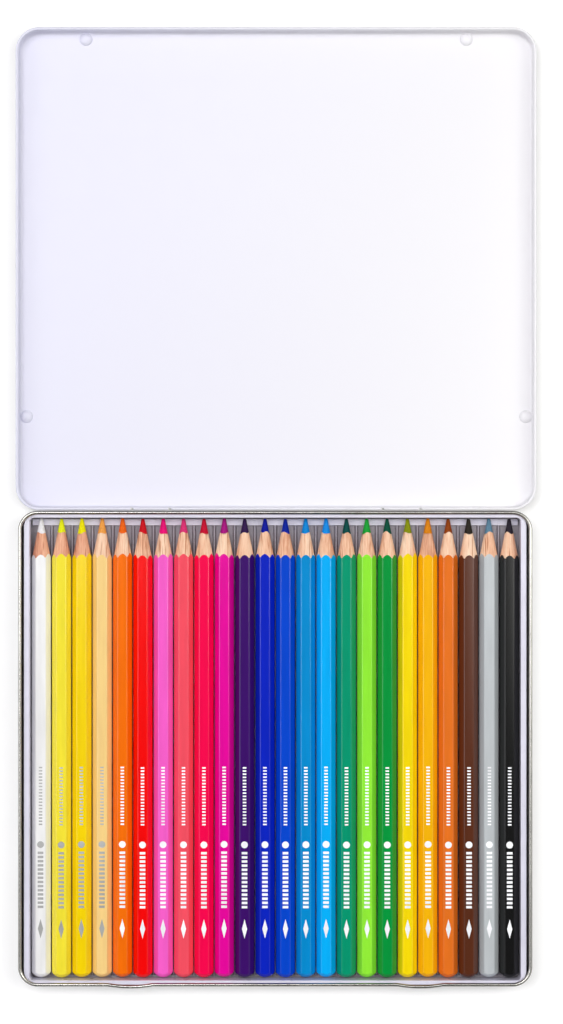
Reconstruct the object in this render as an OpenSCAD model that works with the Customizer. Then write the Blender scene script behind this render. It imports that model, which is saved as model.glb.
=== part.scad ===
// Flat tin of twenty-four coloured pencils, shown open.
// The origin is the middle of the base's underside: X to the right, Y towards the hinge, Z up.
// The pencils set the tray, the tray sets the base and the base sets the lid.
// The lid is drawn closed and then turned over its hinge, so that it lies open and flat.

/* [Pencils] */
// Length of a sharpened pencil
pencil_len = 175; // [120:1:190]
// Thickness of a pencil across its flats
pencil_flats = 6.55; // [5.8:0.05:8]
// Depth that is turned off each of the six corners
corner_cut = 0.13; // [0.05:0.01:0.25]
// Clear gap between neighbouring pencils
pencil_gap = 0.46; // [0.3:0.02:1.5]
// Diameter of the coloured core
core_d = 3; // [2.2:0.1:3.6]
// Glue line between a core and its wood
core_glue = 0.02; // [0.01:0.01:0.05]
// Wood and lacquer that cover the core at the rear end
end_cover = 1; // [0.8:0.1:4]
// Diameter of the blunt point
tip_d = 1.1; // [0.6:0.1:1.6]
// Length of the sharpened cone
cone_len = 15.5; // [12:0.5:22]
// Height of the domed rear end
dome_h = 2.1; // [1:0.1:3]

/* [Tray] */
// Thickness of the formed plastic sheet
tray_sheet = 0.4; // [0.3:0.05:0.6]
// Gap under each pencil
rest_gap = 0.1; // [0.05:0.05:0.4]
// Gap between the outer pencils and the side walls
row_gap = 0.35; // [0.3:0.05:2]
// Gap between the pencils' ends and the end walls
end_gap = 0.35; // [0.3:0.05:2]
// Width of the flange along each side
flange_side = 4.05; // [3:0.05:8]
// Width of the flange in front of the pencils
flange_front = 1.9; // [1.8:0.05:8]
// Width of the flange behind the points
flange_rear = 2.35; // [1.8:0.05:8]
// Gap between the flange and the tin's front and rear walls
flange_gap = 0.25; // [0.1:0.05:0.6]
// Width of the open slit between the flange and each side wall
side_slit = 1.9; // [1.5:0.05:2.2]
// Drop from the tin's rolled rim to the flange
flange_drop = 0.3; // [0.1:0.05:1]
// Corner radius of the hollow that holds the pencils
cavity_corner = 1.5; // [1:0.1:2]
// Height of the low rib between each two pencils
rib_h = 1; // [0.7:0.05:1.4]
// Width of the flat on top of each rib
rib_top = 0.4; // [0.2:0.05:1]
// Distance from the front wall to the ribs
rib_setback = 1; // [0.5:0.1:5]
// Width of the ledge under the points
ledge_w = 3; // [1.5:0.1:4]
// Height of the ledge above the tray's floor
ledge_h = 1.5; // [0.9:0.05:1.8]

/* [Tin base] */
// Thickness of the tinplate, base and lid
sheet = 0.3; // [0.2:0.05:0.5]
// Height of the base from the table to its rolled rim
base_h = 12; // [11:0.5:16]
// Corner radius of the base
base_corner = 7.5; // [5:0.25:12]
// Radius of the edge round the underside
base_edge = 1.5; // [0.8:0.1:2.5]
// Diameter of the rim, rolled inwards
bead_d = 1.4; // [1:0.1:1.7]
// Distance of each finger bulge from the middle
bulge_x = 55; // [20:1:75]
// Width of a finger bulge in the front wall
bulge_w = 17; // [8:0.5:26]
// How far a finger bulge stands out
bulge_out = 0.75; // [0.3:0.05:1.5]
// Height of a finger bulge below the rim's top
bulge_h = 3.5; // [2:0.25:6]

/* [Lid] */
// Gap between the base's rim and the closed lid's ceiling
headroom = 1.7; // [1.5:0.1:4]
// Clear gap between the closed lid and the base's sides, beyond the hinge's play
side_clear = 0.15; // [0.1:0.05:1]
// Clear gap between the closed lid and the finger bulges
front_clear = 0.25; // [0.2:0.05:1]
// Gap between the lid's rear rim and the base
rear_clear = 0.2; // [0.15:0.05:0.6]
// Diameter of the lid's rim, rolled outwards
curl_d = 1.1; // [1:0.05:1.5]
// Radius of the edge round the lid's top
lid_edge = 1.3; // [0.8:0.1:2.2]
// Radius of each stop pressed into the lid
stop_r = 2.5; // [1.5:0.1:3.5]
// Height of each stop
stop_h = 1.3; // [0.6:0.05:1.3]
// Distance from the lid's wall to the middle of a stop
stop_inset = 2.6; // [2.6:0.1:5]
// Distance of the two front stops from the middle
stop_x = 72.8; // [20:0.5:80]
// Distance of the two side stops from the rear of the base
stop_y = 35.3; // [15:0.5:80]

/* [Hinges] */
// Distance of each hinge from the middle
hinge_x = 47.7; // [20:0.5:75]
// Width of the rolled tongue on the lid
tongue_w = 13.2; // [8:0.2:20]
// Play between the tongue and each lug
hinge_play = 0.4; // [0.2:0.05:0.6]
// Part of the play that is left on the near side
play_left = 0.05; // [0.05:0.05:0.15]
// Thickness of a lug
lug_t = 0.4; // [0.3:0.05:0.8]
// Wall of metal round the pin in a lug
lug_wall = 0.3; // [0.2:0.05:0.4]
// Diameter of the hinge pin
pin_d = 0.6; // [0.4:0.05:0.65]
// Running clearance round the pin in the tongue
pin_clear = 0.03; // [0.02:0.01:0.08]
// Clearance round a lug in the lid's relief slot
relief_gap = 0.35; // [0.2:0.05:0.6]

/* [Hidden] */
$fn = 64;
eps = 0.01;
spare = 1;
big = 20;

// Each pencil: its name, the colour of its lacquer and the colour of its core
PENCILS = [
    ["white", "white", "white"],
    ["lemon", "khaki", "yellow"],
    ["yellow", "gold", "yellow"],
    ["apricot", "navajowhite", "sandybrown"],
    ["orange", "darkorange", "orangered"],
    ["red", "red", "firebrick"],
    ["pink", "hotpink", "deeppink"],
    ["coral", "tomato", "crimson"],
    ["crimson", "crimson", "crimson"],
    ["magenta", "mediumvioletred", "purple"],
    ["violet", "indigo", "indigo"],
    ["ultramarine", "mediumblue", "navy"],
    ["blue", "royalblue", "mediumblue"],
    ["cerulean", "steelblue", "dodgerblue"],
    ["sky_blue", "deepskyblue", "dodgerblue"],
    ["viridian", "seagreen", "teal"],
    ["lime", "greenyellow", "limegreen"],
    ["green", "green", "darkgreen"],
    ["olive_yellow", "gold", "olive"],
    ["golden", "orange", "goldenrod"],
    ["sienna", "chocolate", "sienna"],
    ["brown", "saddlebrown", "black"],
    ["grey", "silver", "slategray"],
    ["black", "black", "black"],
];
count = len(PENCILS);
function casing_name(i) = str("pencil_", PENCILS[i][0], "_casing");
function core_name(i) = str("pencil_", PENCILS[i][0], "_core");

// Pencils, from one end of the row to the other
pencil_round = pencil_flats / cos(30) - 2 * corner_cut;
pitch = pencil_round + pencil_gap;
row_w = count * pencil_round + (count - 1) * pencil_gap;
cone_slope = (pencil_round - tip_d) / 2 / cone_len;
dome_r = (pow(pencil_round / 2, 2) + pow(dome_h, 2)) / (2 * dome_h);

// Tray hollow, then the base round it
cavity_w = row_w + 2 * row_gap;
cavity_d = pencil_len + 2 * end_gap;
base_w = cavity_w + 2 * (flange_side + sheet);
base_d = cavity_d + flange_front + flange_rear + 2 * sheet;
cavity_rear = base_d / 2 - sheet - flange_rear;
cavity_front = cavity_rear - cavity_d;
cavity_y = (cavity_rear + cavity_front) / 2;
tray_floor = sheet + tray_sheet;
flange_z = base_h - bead_d - flange_drop;
tray_w = base_w - 2 * (sheet + side_slit);
tray_d = base_d - 2 * (sheet + flange_gap);
tray_corner = base_corner - sheet - side_slit;
pencil_z = tray_floor + rest_gap + pencil_flats / 2;
pencil_rear_y = cavity_front + end_gap;

// A rib stands in the groove between two pencils, with its flanks along their lower facets
rib_half = rib_top / 2 + rib_h / tan(60);
rib_hollow = rib_half + tray_sheet * tan(30) - tray_sheet / cos(30);

// Finger bulges: each is one arc, which runs on a little into the straight wall at its ends.
// Its rim is rolled a little tighter than the straight rim.
bulge_r = (pow(bulge_w / 2, 2) + pow(bulge_out, 2)) / (2 * bulge_out);
bulge_y = -base_d / 2 - bulge_out + bulge_r;
bulge_lap = 1;
bulge_tight = 0.06;
bulge_angle = asin(bulge_w / 2 / bulge_r) + bulge_lap;
bulge_bead = bead_d - bulge_tight;
shelf_z = base_h - bulge_h;

// Hinge line at half the closed height, so that the base and the open lid both lie flat
closed_h = base_h + headroom + sheet;
hinge_z = closed_h / 2;
hinge_y = base_d / 2 + rear_clear + curl_d / 2;
slot_w = lug_t + 2 * hinge_play;
lug_d = pin_d + 2 * lug_wall;
relief_r = lug_d / 2 + relief_gap;
pin_len = tongue_w + 2 * (hinge_play + lug_t);

// Lid, measured at the inner face of its wall
lid_shift = hinge_play - play_left;
lid_side = lid_shift + side_clear;
lid_w = base_w + 2 * lid_side;
lid_front = -base_d / 2 - bulge_out - front_clear;
lid_rear = base_d / 2 + rear_clear;
lid_d = lid_rear - lid_front;
lid_y = (lid_rear + lid_front) / 2;
lid_corner = base_corner + lid_side;
stop_ball = (pow(stop_r, 2) + pow(stop_h, 2)) / (2 * stop_h);
stop_z = closed_h - sheet - stop_h + stop_ball;

// Flat outline with rounded corners
module rounded_rect(w, d, r) {
    square([w - 2 * r, d], center = true);
    square([w, d - 2 * r], center = true);
    for (x = [-1, 1], y = [-1, 1])
        translate([x * (w / 2 - r), y * (d / 2 - r)]) circle(r);
}

// Sweeps a profile round a rounded outline: x runs outwards from the outline and y runs up
module rim_sweep(w, d, r) {
    for (turn = [0 : 3]) {
        across = turn % 2 == 0 ? w : d;
        along = turn % 2 == 0 ? d : w;
        rotate(90 * turn) {
            translate([across / 2, along / 2 - r, 0])
                rotate([90, 0, 0])
                    linear_extrude(along - 2 * r) children();
            translate([across / 2 - r, along / 2 - r, 0])
                rotate_extrude(angle = 90)
                    translate([r, 0]) children();
        }
    }
}

// Wall of a shallow pan with a round bottom edge, its outer face at x = 0
module pan_profile(h, edge) {
    translate([-sheet, edge]) square([sheet, h - edge]);
    translate([-edge, edge])
        difference() {
            circle(edge);
            circle(edge - sheet);
            translate([-big, 0]) square([2 * big, big]);
            translate([-big, -big]) square([big, 2 * big]);
        }
}

// Upper wall and rolled rim of the base, its outer face at x = 0
module rim_profile(roll) {
    rim_z = base_h - bead_d / 2;
    translate([-sheet, shelf_z]) square([sheet, rim_z - shelf_z]);
    translate([-bead_d / 2, rim_z]) circle(d = roll);
}

// Upper wall and rim along one finger bulge, whose middle is at x = 0
module bulge_wall() {
    translate([0, bulge_y, 0])
        rotate(270 - bulge_angle)
            rotate_extrude(angle = 2 * bulge_angle)
                translate([bulge_r, 0]) rim_profile(bulge_bead);
}

// Flat shelf between the lower wall and the wall of a finger bulge
module bulge_shelf() {
    translate([0, 0, shelf_z])
        linear_extrude(sheet)
            intersection() {
                translate([0, bulge_y]) circle(bulge_r - sheet / 2);
                translate([-bulge_w / 2, -base_d / 2 - bulge_out])
                    square([bulge_w, bulge_out + sheet / 2]);
            }
}

// Ears on the base's rear wall that hold the hinge pins
module hinge_lugs() {
    root = hinge_y - base_d / 2 + sheet / 2;
    for (side = [-1, 1], end = [-1, 1])
        translate([side * hinge_x + end * (tongue_w / 2 + hinge_play + lug_t / 2), hinge_y, hinge_z])
            rotate([90, 0, 90])
                linear_extrude(lug_t, center = true)
                    difference() {
                        union() {
                            circle(d = lug_d);
                            translate([-root, -lug_d / 2]) square([root, lug_d]);
                        }
                        circle(d = pin_d);
                    }
}

module base_tin() {
    color("gainsboro") {
        linear_extrude(sheet)
            rounded_rect(base_w - 2 * base_edge, base_d - 2 * base_edge, base_corner - base_edge);
        rim_sweep(base_w, base_d, base_corner) pan_profile(shelf_z, base_edge);
        difference() {
            rim_sweep(base_w, base_d, base_corner) rim_profile(bead_d);
            for (side = [-1, 1])
                translate([side * bulge_x - bulge_w / 2, -base_d / 2 - bead_d, 0])
                    cube([bulge_w, 3 * bead_d, 2 * base_h]);
        }
        for (side = [-1, 1])
            translate([side * bulge_x, 0, 0]) {
                bulge_wall();
                bulge_shelf();
            }
        hinge_lugs();
    }
}

// Places its children at the four stops, with the lid closed
module at_stops() {
    for (side = [-1, 1]) {
        translate([side * stop_x, lid_front + stop_inset, stop_z]) children();
        translate([side * (lid_w / 2 - stop_inset), base_d / 2 - stop_y, stop_z]) children();
    }
}

// Cuts round each tongue: the bore for the pin and a relief slot at either end
module tongue_cuts() {
    for (side = [-1, 1]) {
        translate([side * hinge_x - tongue_w / 2 - slot_w, hinge_y, hinge_z])
            rotate([0, 90, 0]) cylinder(d = pin_d + 2 * pin_clear, h = tongue_w + 2 * slot_w);
        for (end = [-1, 1])
            translate([side * hinge_x + end * (tongue_w + slot_w) / 2 - slot_w / 2, hinge_y, hinge_z])
                rotate([0, 90, 0]) cylinder(r = relief_r, h = slot_w);
    }
}

module lid_closed() {
    difference() {
        union() {
            translate([0, lid_y, closed_h - sheet])
                linear_extrude(sheet)
                    rounded_rect(
                        lid_w + 2 * (sheet - lid_edge),
                        lid_d + 2 * (sheet - lid_edge),
                        lid_corner + sheet - lid_edge
                    );
            translate([0, lid_y, 0])
                rim_sweep(lid_w, lid_d, lid_corner) {
                    translate([sheet, closed_h])
                        mirror([0, 1]) pan_profile(closed_h - hinge_z, lid_edge);
                    translate([curl_d / 2, hinge_z]) circle(d = curl_d);
                }
            at_stops()
                intersection() {
                    sphere(stop_ball);
                    translate([-big / 2, -big / 2, closed_h - sheet / 2 - stop_z - big])
                        cube(big);
                }
        }
        at_stops() sphere(stop_ball - sheet);
        tongue_cuts();
    }
}

module lid_tin() {
    color("ghostwhite")
        translate([lid_shift, 2 * hinge_y, 2 * hinge_z])
            rotate([180, 0, 0]) lid_closed();
}

module hinge_pin(side) {
    color("darkgray")
        translate([side * hinge_x - pin_len / 2, hinge_y, hinge_z])
            rotate([0, 90, 0]) cylinder(d = pin_d, h = pin_len);
}

// Ribs that keep the pencils apart, drawn as solid bars
module rib_bars() {
    for (i = [1 : count - 1])
        translate([-row_w / 2 - pencil_gap / 2 + i * pitch, cavity_rear, tray_floor])
            rotate([90, 0, 0])
                linear_extrude(cavity_d - rib_setback)
                    polygon([
                        [-rib_half, -eps], [rib_half, -eps],
                        [rib_top / 2, rib_h], [-rib_top / 2, rib_h],
                    ]);
}

// Hollows under the ribs, open to the tray's underside
module rib_hollows() {
    for (i = [1 : count - 1])
        translate([-row_w / 2 - pencil_gap / 2 + i * pitch, cavity_rear - ledge_w, sheet])
            rotate([90, 0, 0])
                linear_extrude(cavity_d - rib_setback - ledge_w - tray_sheet)
                    polygon([
                        [-rib_hollow, 0], [rib_hollow, 0], [0, rib_hollow * tan(60)],
                    ]);
}

module pencil_tray() {
    tub_w = cavity_w + 2 * tray_sheet;
    color("lavender")
        difference() {
            union() {
                difference() {
                    union() {
                        translate([0, 0, flange_z - tray_sheet])
                            linear_extrude(tray_sheet)
                                rounded_rect(tray_w, tray_d, tray_corner);
                        translate([0, cavity_y, sheet])
                            linear_extrude(flange_z - sheet)
                                rounded_rect(
                                    tub_w, cavity_d + 2 * tray_sheet, cavity_corner + tray_sheet
                                );
                    }
                    translate([0, cavity_y, tray_floor])
                        linear_extrude(base_h)
                            rounded_rect(cavity_w, cavity_d, cavity_corner);
                }
                intersection() {
                    union() {
                        translate([-cavity_w / 2, cavity_rear - ledge_w, tray_floor - eps])
                            cube([cavity_w, ledge_w, ledge_h + eps]);
                        difference() {
                            rib_bars();
                            translate([-cavity_w / 2, cavity_rear - ledge_w, tray_floor + ledge_h])
                                cube([cavity_w, big, big]);
                        }
                    }
                    translate([0, cavity_y, 0])
                        linear_extrude(base_h)
                            rounded_rect(
                                cavity_w + tray_sheet, cavity_d + tray_sheet,
                                cavity_corner + tray_sheet / 2
                            );
                }
            }
            rib_hollows();
            translate([-row_w / 2, cavity_rear - ledge_w + tray_sheet, sheet])
                cube([row_w, ledge_w - 2 * tray_sheet, ledge_h]);
        }
}

// Outside of one pencil along +Z, with its rear end at the origin
module pencil_form() {
    intersection() {
        translate([0, 0, -spare])
            linear_extrude(pencil_len + 2 * spare)
                circle(r = pencil_flats / 2 / cos(30), $fn = 6);
        translate([0, 0, -spare]) cylinder(d = pencil_round, h = pencil_len + 2 * spare);
        cylinder(
            r1 = tip_d / 2 + cone_slope * pencil_len,
            r2 = tip_d / 2,
            h = pencil_len
        );
        translate([0, 0, dome_r]) {
            sphere(dome_r);
            cylinder(r = dome_r + spare, h = pencil_len);
        }
    }
}

// Puts its children in place i of the row, pointing towards the hinge
module in_row(i) {
    translate([-row_w / 2 + pencil_round / 2 + i * pitch, pencil_rear_y, pencil_z])
        rotate([-90, 0, 0]) children();
}

module pencil_casing(i) {
    color(PENCILS[i][1])
        in_row(i)
            difference() {
                pencil_form();
                translate([0, 0, end_cover])
                    cylinder(d = core_d + 2 * core_glue, h = pencil_len);
            }
}

module pencil_core(i) {
    color(PENCILS[i][2])
        in_row(i)
            intersection() {
                pencil_form();
                translate([0, 0, end_cover + core_glue])
                    cylinder(d = core_d, h = pencil_len);
            }
}

base_tin();
lid_tin();
pencil_tray();
hinge_pin(-1);  // hinge_pin_left
hinge_pin(1);  // hinge_pin_right
for (i = [0 : count - 1]) {
    pencil_casing(i);
    pencil_core(i);
}
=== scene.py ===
"""Looks of a flat hinged tin of twenty-four coloured pencils, lying open.

Lengths are in metres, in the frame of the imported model: X runs to the right, Y towards the hinge
and Z up, with the origin at the middle of the base's underside. Sizes are given in millimetres
times MM.
"""

import logging
import math
import random
from contextlib import contextmanager
from dataclasses import dataclass, field
from enum import Enum
from typing import Callable, Iterator, Sequence

import bmesh
import bpy
from mathutils import Matrix, Vector


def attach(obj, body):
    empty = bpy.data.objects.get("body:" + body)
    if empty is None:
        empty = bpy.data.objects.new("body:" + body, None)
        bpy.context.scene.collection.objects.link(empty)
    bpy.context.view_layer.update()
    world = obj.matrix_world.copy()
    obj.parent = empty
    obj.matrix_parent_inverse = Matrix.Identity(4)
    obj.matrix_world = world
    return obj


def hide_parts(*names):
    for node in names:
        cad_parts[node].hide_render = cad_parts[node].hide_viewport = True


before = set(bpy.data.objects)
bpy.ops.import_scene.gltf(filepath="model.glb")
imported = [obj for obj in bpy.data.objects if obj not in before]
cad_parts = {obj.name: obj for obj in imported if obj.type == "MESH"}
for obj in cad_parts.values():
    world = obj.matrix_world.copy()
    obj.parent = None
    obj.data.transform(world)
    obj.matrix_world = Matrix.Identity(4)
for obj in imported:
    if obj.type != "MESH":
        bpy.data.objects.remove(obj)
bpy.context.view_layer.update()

logging.basicConfig(level=logging.INFO, format="%(message)s")
LOG = logging.getLogger("pencil_tin")

MM = 0.001
# Distances for tests of place, and for merging points.
CLOSE = 0.01 * MM
NEAR_WALL = 0.1 * MM
WELD = 0.001 * MM
# Distance from one pencil to the next, the tin's sheet, and the place of the hinge.
PITCH = 7.7633 * MM
SHEET = 0.3 * MM
HINGE_X = 47.7 * MM
HINGE_Z = 7 * MM
# How far a grain is followed to either side of 0.5.
GRAIN_REACH = 0.2
# Thickness of the foil marks, and how deep they sink into the facet.
FOIL_SLAB = 0.012 * MM
FOIL_DEEP = 0.004 * MM
# What differs from pencil to pencil: degrees of the cone's lean and of the pencil's roll, and
# millimetres by which it slides along, by which its wood ends askew and in waves.
MOST_LEAN = 0.45
MOST_ROLL = 0.9
SLIDE = (-0.15, 0.10)
SKEW = (0.15, 0.55)
WAVE = (0.15, 0.40)

Point = tuple[float, float, float]
Colour = tuple[float, float, float]
Test = Callable[[Vector], bool]
Socket = bpy.types.NodeSocket
Material = bpy.types.Material


class Pick(Enum):
    """What an edit-mode selection takes."""

    EDGES = "EDGE"
    FACES = "FACE"


class Side(Enum):
    """Which way the open sheet of a shell faces before it gets its thickness."""

    OUT = 1
    IN = -1


def linear(rgb: Colour) -> tuple[float, float, float, float]:
    """Turn a colour as it is seen on a screen into the linear one that shaders take.

    Args:
        rgb: Red, green and blue from 0 to 1.

    Returns:
        The linear colour with an alpha of 1.
    """
    parts = [c / 12.92 if c <= 0.04045 else ((c + 0.055) / 1.055) ** 2.4 for c in rgb]
    return parts[0], parts[1], parts[2], 1.0


def arc(centre: tuple[float, float], radius: float, start: float, end: float, steps: int) -> list:
    """List the points of an arc in a profile.

    Args:
        centre: Its middle, as distance out and height.
        radius: Its radius.
        start: First angle in degrees.
        end: Last angle in degrees.
        steps: Number of straight pieces.

    Returns:
        Points as pairs of distance out and height.
    """
    angles = [math.radians(start + (end - start) * k / steps) for k in range(steps + 1)]
    return [(centre[0] + radius * math.cos(a), centre[1] + radius * math.sin(a)) for a in angles]


class Workpiece:
    """A mesh object on the bench, shaped with the edit-mode tools."""

    def __init__(self, name: str) -> None:
        """Take the object that a primitive has just added.

        Args:
            name: Name for the object and its mesh.
        """
        self.obj = bpy.context.active_object
        self.obj.name = name
        self.obj.data.name = name

    @staticmethod
    def clear_bench() -> None:
        """Deselect everything, so that an operator acts only on what comes next."""
        if bpy.context.mode != "OBJECT":
            bpy.ops.object.mode_set(mode="OBJECT")
        bpy.ops.object.select_all(action="DESELECT")

    @classmethod
    def shaped(cls, name: str, add: Callable, **settings: object) -> "Workpiece":
        """Add a primitive, with its place and turn inside its mesh.

        Args:
            name: Name of the new object.
            add: The operator that adds it.
            **settings: The operator's settings.

        Returns:
            The workpiece.
        """
        cls.clear_bench()
        add(**settings)
        piece = cls(name)
        piece.take()
        bpy.ops.object.transform_apply(location=True, rotation=True, scale=True)
        return piece

    @classmethod
    def line(cls, name: str, points: Sequence[Point]) -> "Workpiece":
        """Draw an open chain of edges.

        Args:
            name: Name of the new object.
            points: The places that the chain runs through.

        Returns:
            The workpiece, with all its edges.
        """
        cls.clear_bench()
        bpy.ops.mesh.primitive_plane_add(size=MM)
        piece = cls(name)
        with piece.editing():
            bpy.ops.mesh.select_all(action="SELECT")
            bpy.ops.mesh.merge(type="CENTER")
            bpy.ops.transform.translate(value=points[0])
            for here, there in zip(points, points[1:]):
                bpy.ops.mesh.extrude_vertices_move(
                    TRANSFORM_OT_translate={"value": Vector(there) - Vector(here)}
                )
        return piece

    def take(self) -> None:
        """Make this the only selected object."""
        self.clear_bench()
        bpy.context.view_layer.objects.active = self.obj
        self.obj.select_set(True)

    @contextmanager
    def editing(self) -> Iterator[None]:
        """Hold the piece in edit mode for the length of a with block."""
        self.take()
        bpy.ops.object.mode_set(mode="EDIT")
        bpy.ops.mesh.select_mode(type="VERT")
        yield
        bpy.ops.object.mode_set(mode="OBJECT")

    def pick(self, kind: Pick, test: Test) -> None:
        """Select the elements whose middle passes a test.

        Args:
            kind: Edges or faces.
            test: Says whether an element with this middle is taken.
        """
        bpy.ops.mesh.select_mode(type=kind.value)
        bpy.ops.mesh.select_all(action="DESELECT")
        bm = bmesh.from_edit_mesh(self.obj.data)
        for item in bm.edges if kind is Pick.EDGES else bm.faces:
            middle = sum((v.co for v in item.verts), Vector()) / len(item.verts)
            item.select_set(test(middle))
        bm.select_flush_mode()
        bmesh.update_edit_mesh(self.obj.data)

    def pick_open_edges(self, test: Test) -> None:
        """Select the open edges whose two ends both pass a test."""
        bpy.ops.mesh.select_mode(type="EDGE")
        bpy.ops.mesh.select_all(action="DESELECT")
        bm = bmesh.from_edit_mesh(self.obj.data)
        for edge in bm.edges:
            edge.select_set(len(edge.link_faces) < 2 and all(test(v.co) for v in edge.verts))
        bmesh.update_edit_mesh(self.obj.data)

    @staticmethod
    def walk(step: Point) -> None:
        """Extrude what is selected by one straight step."""
        bpy.ops.mesh.extrude_region_move(TRANSFORM_OT_translate={"value": step})

    @staticmethod
    def turn(centre: Point, degrees: float, steps: int, axis: Point = (0, 0, 1)) -> None:
        """Spin what is selected about an axis through a centre, anticlockwise seen from its tip."""
        bpy.ops.mesh.spin(steps=steps, angle=-math.radians(degrees), center=centre, axis=axis)

    @staticmethod
    def weld(distance: float = WELD) -> None:
        """Merge points that lie on each other in the whole mesh."""
        bpy.ops.mesh.select_mode(type="VERT")
        bpy.ops.mesh.select_all(action="SELECT")
        bpy.ops.mesh.remove_doubles(threshold=distance)

    @staticmethod
    def face_out() -> None:
        """Turn every face of a closed or welded mesh outwards."""
        bpy.ops.mesh.select_all(action="SELECT")
        bpy.ops.mesh.normals_make_consistent(inside=False)

    def face(self, side: Side, wall_x: float) -> None:
        """Flip an open sheet where its wall at the right looks the wrong way.

        Args:
            side: The way that the wall should look.
            wall_x: The wall's faces lie past this place on X.
        """
        lean = sum(p.normal.x * p.area for p in self.obj.data.polygons if p.center.x > wall_x)
        if lean * side.value < 0:
            self.flip()

    def flip(self) -> None:
        """Turn every face over."""
        with self.editing():
            bpy.ops.mesh.select_all(action="SELECT")
            bpy.ops.mesh.flip_normals()

    def modify(self, kind: str, **settings: object) -> None:
        """Add a modifier, set it up and apply it.

        Args:
            kind: Blender's name for the modifier.
            **settings: Its properties.
        """
        self.take()
        modifier = self.obj.modifiers.new(kind.title(), kind)
        for key, value in settings.items():
            setattr(modifier, key, value)
        bpy.ops.object.modifier_apply(modifier=modifier.name)

    def thicken(self, sheet: float, even: bool = True, inner_slot: int = 0) -> None:
        """Give an open sheet its thickness, behind its faces.

        Args:
            sheet: The thickness.
            even: Whether sharp corners keep the thickness too.
            inner_slot: Material slot of the new faces, counted on from that of the old ones.
        """
        self.modify(
            "SOLIDIFY", thickness=sheet, offset=-1, use_even_offset=even, material_offset=inner_slot
        )

    def join(self, others: Sequence["Workpiece"]) -> None:
        """Make the other workpieces part of this one."""
        self.take()
        for other in others:
            other.obj.select_set(True)
        bpy.ops.object.join()

    def copy(self, name: str) -> "Workpiece":
        """Copy the piece with a mesh of its own.

        Args:
            name: Name of the copy.

        Returns:
            The copy.
        """
        self.take()
        bpy.ops.object.duplicate(linked=False)
        return Workpiece(name)

    def settle(self, move: Point = (0, 0, 0), roll: float = 0.0) -> None:
        """Put the piece in its place, inside its mesh.

        Args:
            move: Distance from where it was modelled.
            roll: Turn about the Y axis before the move, in radians.
        """
        self.obj.data.transform(Matrix.Translation(move) @ Matrix.Rotation(roll, 4, "Y"))
        self.obj.data.update()

    def remove(self) -> None:
        """Throw a helper away."""
        bpy.data.objects.remove(self.obj, do_unlink=True)

    def smooth(self, degrees: float = 35.0) -> None:
        """Shade the piece smooth, with sharper edges kept crisp and large faces kept flat."""
        self.take()
        bpy.ops.object.shade_smooth_by_angle(angle=math.radians(degrees))
        self.modify("WEIGHTED_NORMAL", mode="FACE_AREA", weight=50, keep_sharp=True)

    def dress(self, *materials: Material) -> None:
        """Give the piece its materials, in slot order, and keep which face has which slot."""
        slots = self.obj.data.materials
        for k, material in enumerate(materials):
            if k < len(slots):
                slots[k] = material
            else:
                slots.append(material)

    def hand_over(self, body: str, slot: str, *nodes: str) -> None:
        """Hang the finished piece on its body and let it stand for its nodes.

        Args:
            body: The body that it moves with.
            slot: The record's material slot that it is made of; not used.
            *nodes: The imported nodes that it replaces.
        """
        self.obj.data.update()
        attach(self.obj, body)
        if nodes:
            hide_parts(*nodes)
        LOG.info("%s: %d faces on %s", self.obj.name, len(self.obj.data.polygons), body)


# Finishes


class Wiring:
    """A node tree while it is being wired."""

    def __init__(self, owner: bpy.types.ID) -> None:
        """Open the tree of a material or a world.

        Args:
            owner: The material or world.
        """
        owner.use_nodes = True
        self.tree = owner.node_tree

    def node(self, kind: str, **settings: object) -> bpy.types.Node:
        """Add a node and set its properties."""
        made = self.tree.nodes.new(kind)
        for key, value in settings.items():
            setattr(made, key, value)
        return made

    def link(self, source: Socket, target: Socket) -> None:
        """Wire an output to an input."""
        self.tree.links.new(source, target)

    def reckon(self, operation: str, first: Socket, second: Socket | float = 0.0) -> Socket:
        """Reckon with one or two values.

        Args:
            operation: Blender's name for it.
            first: The first value.
            second: The second value, wired or plain.

        Returns:
            The result.
        """
        made = self.node("ShaderNodeMath", operation=operation)
        self.link(first, made.inputs[0])
        if isinstance(second, Socket):
            self.link(second, made.inputs[1])
        else:
            made.inputs[1].default_value = second
        return made.outputs[0]

    def span(
        self,
        value: Socket,
        source: tuple[float, float],
        target: tuple[float, float] = (0.0, 1.0),
        curve: str = "LINEAR",
    ) -> Socket:
        """Map one range of a value to another, and keep it within that.

        Args:
            value: What is mapped.
            source: The two ends of its own range.
            target: The two ends of the result's range.
            curve: Blender's name for the way between them.

        Returns:
            The mapped value.
        """
        made = self.node("ShaderNodeMapRange", interpolation_type=curve)
        for name, end in zip(("From Min", "From Max", "To Min", "To Max"), (*source, *target)):
            made.inputs[name].default_value = end
        self.link(value, made.inputs["Value"])
        return made.outputs["Result"]


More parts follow.
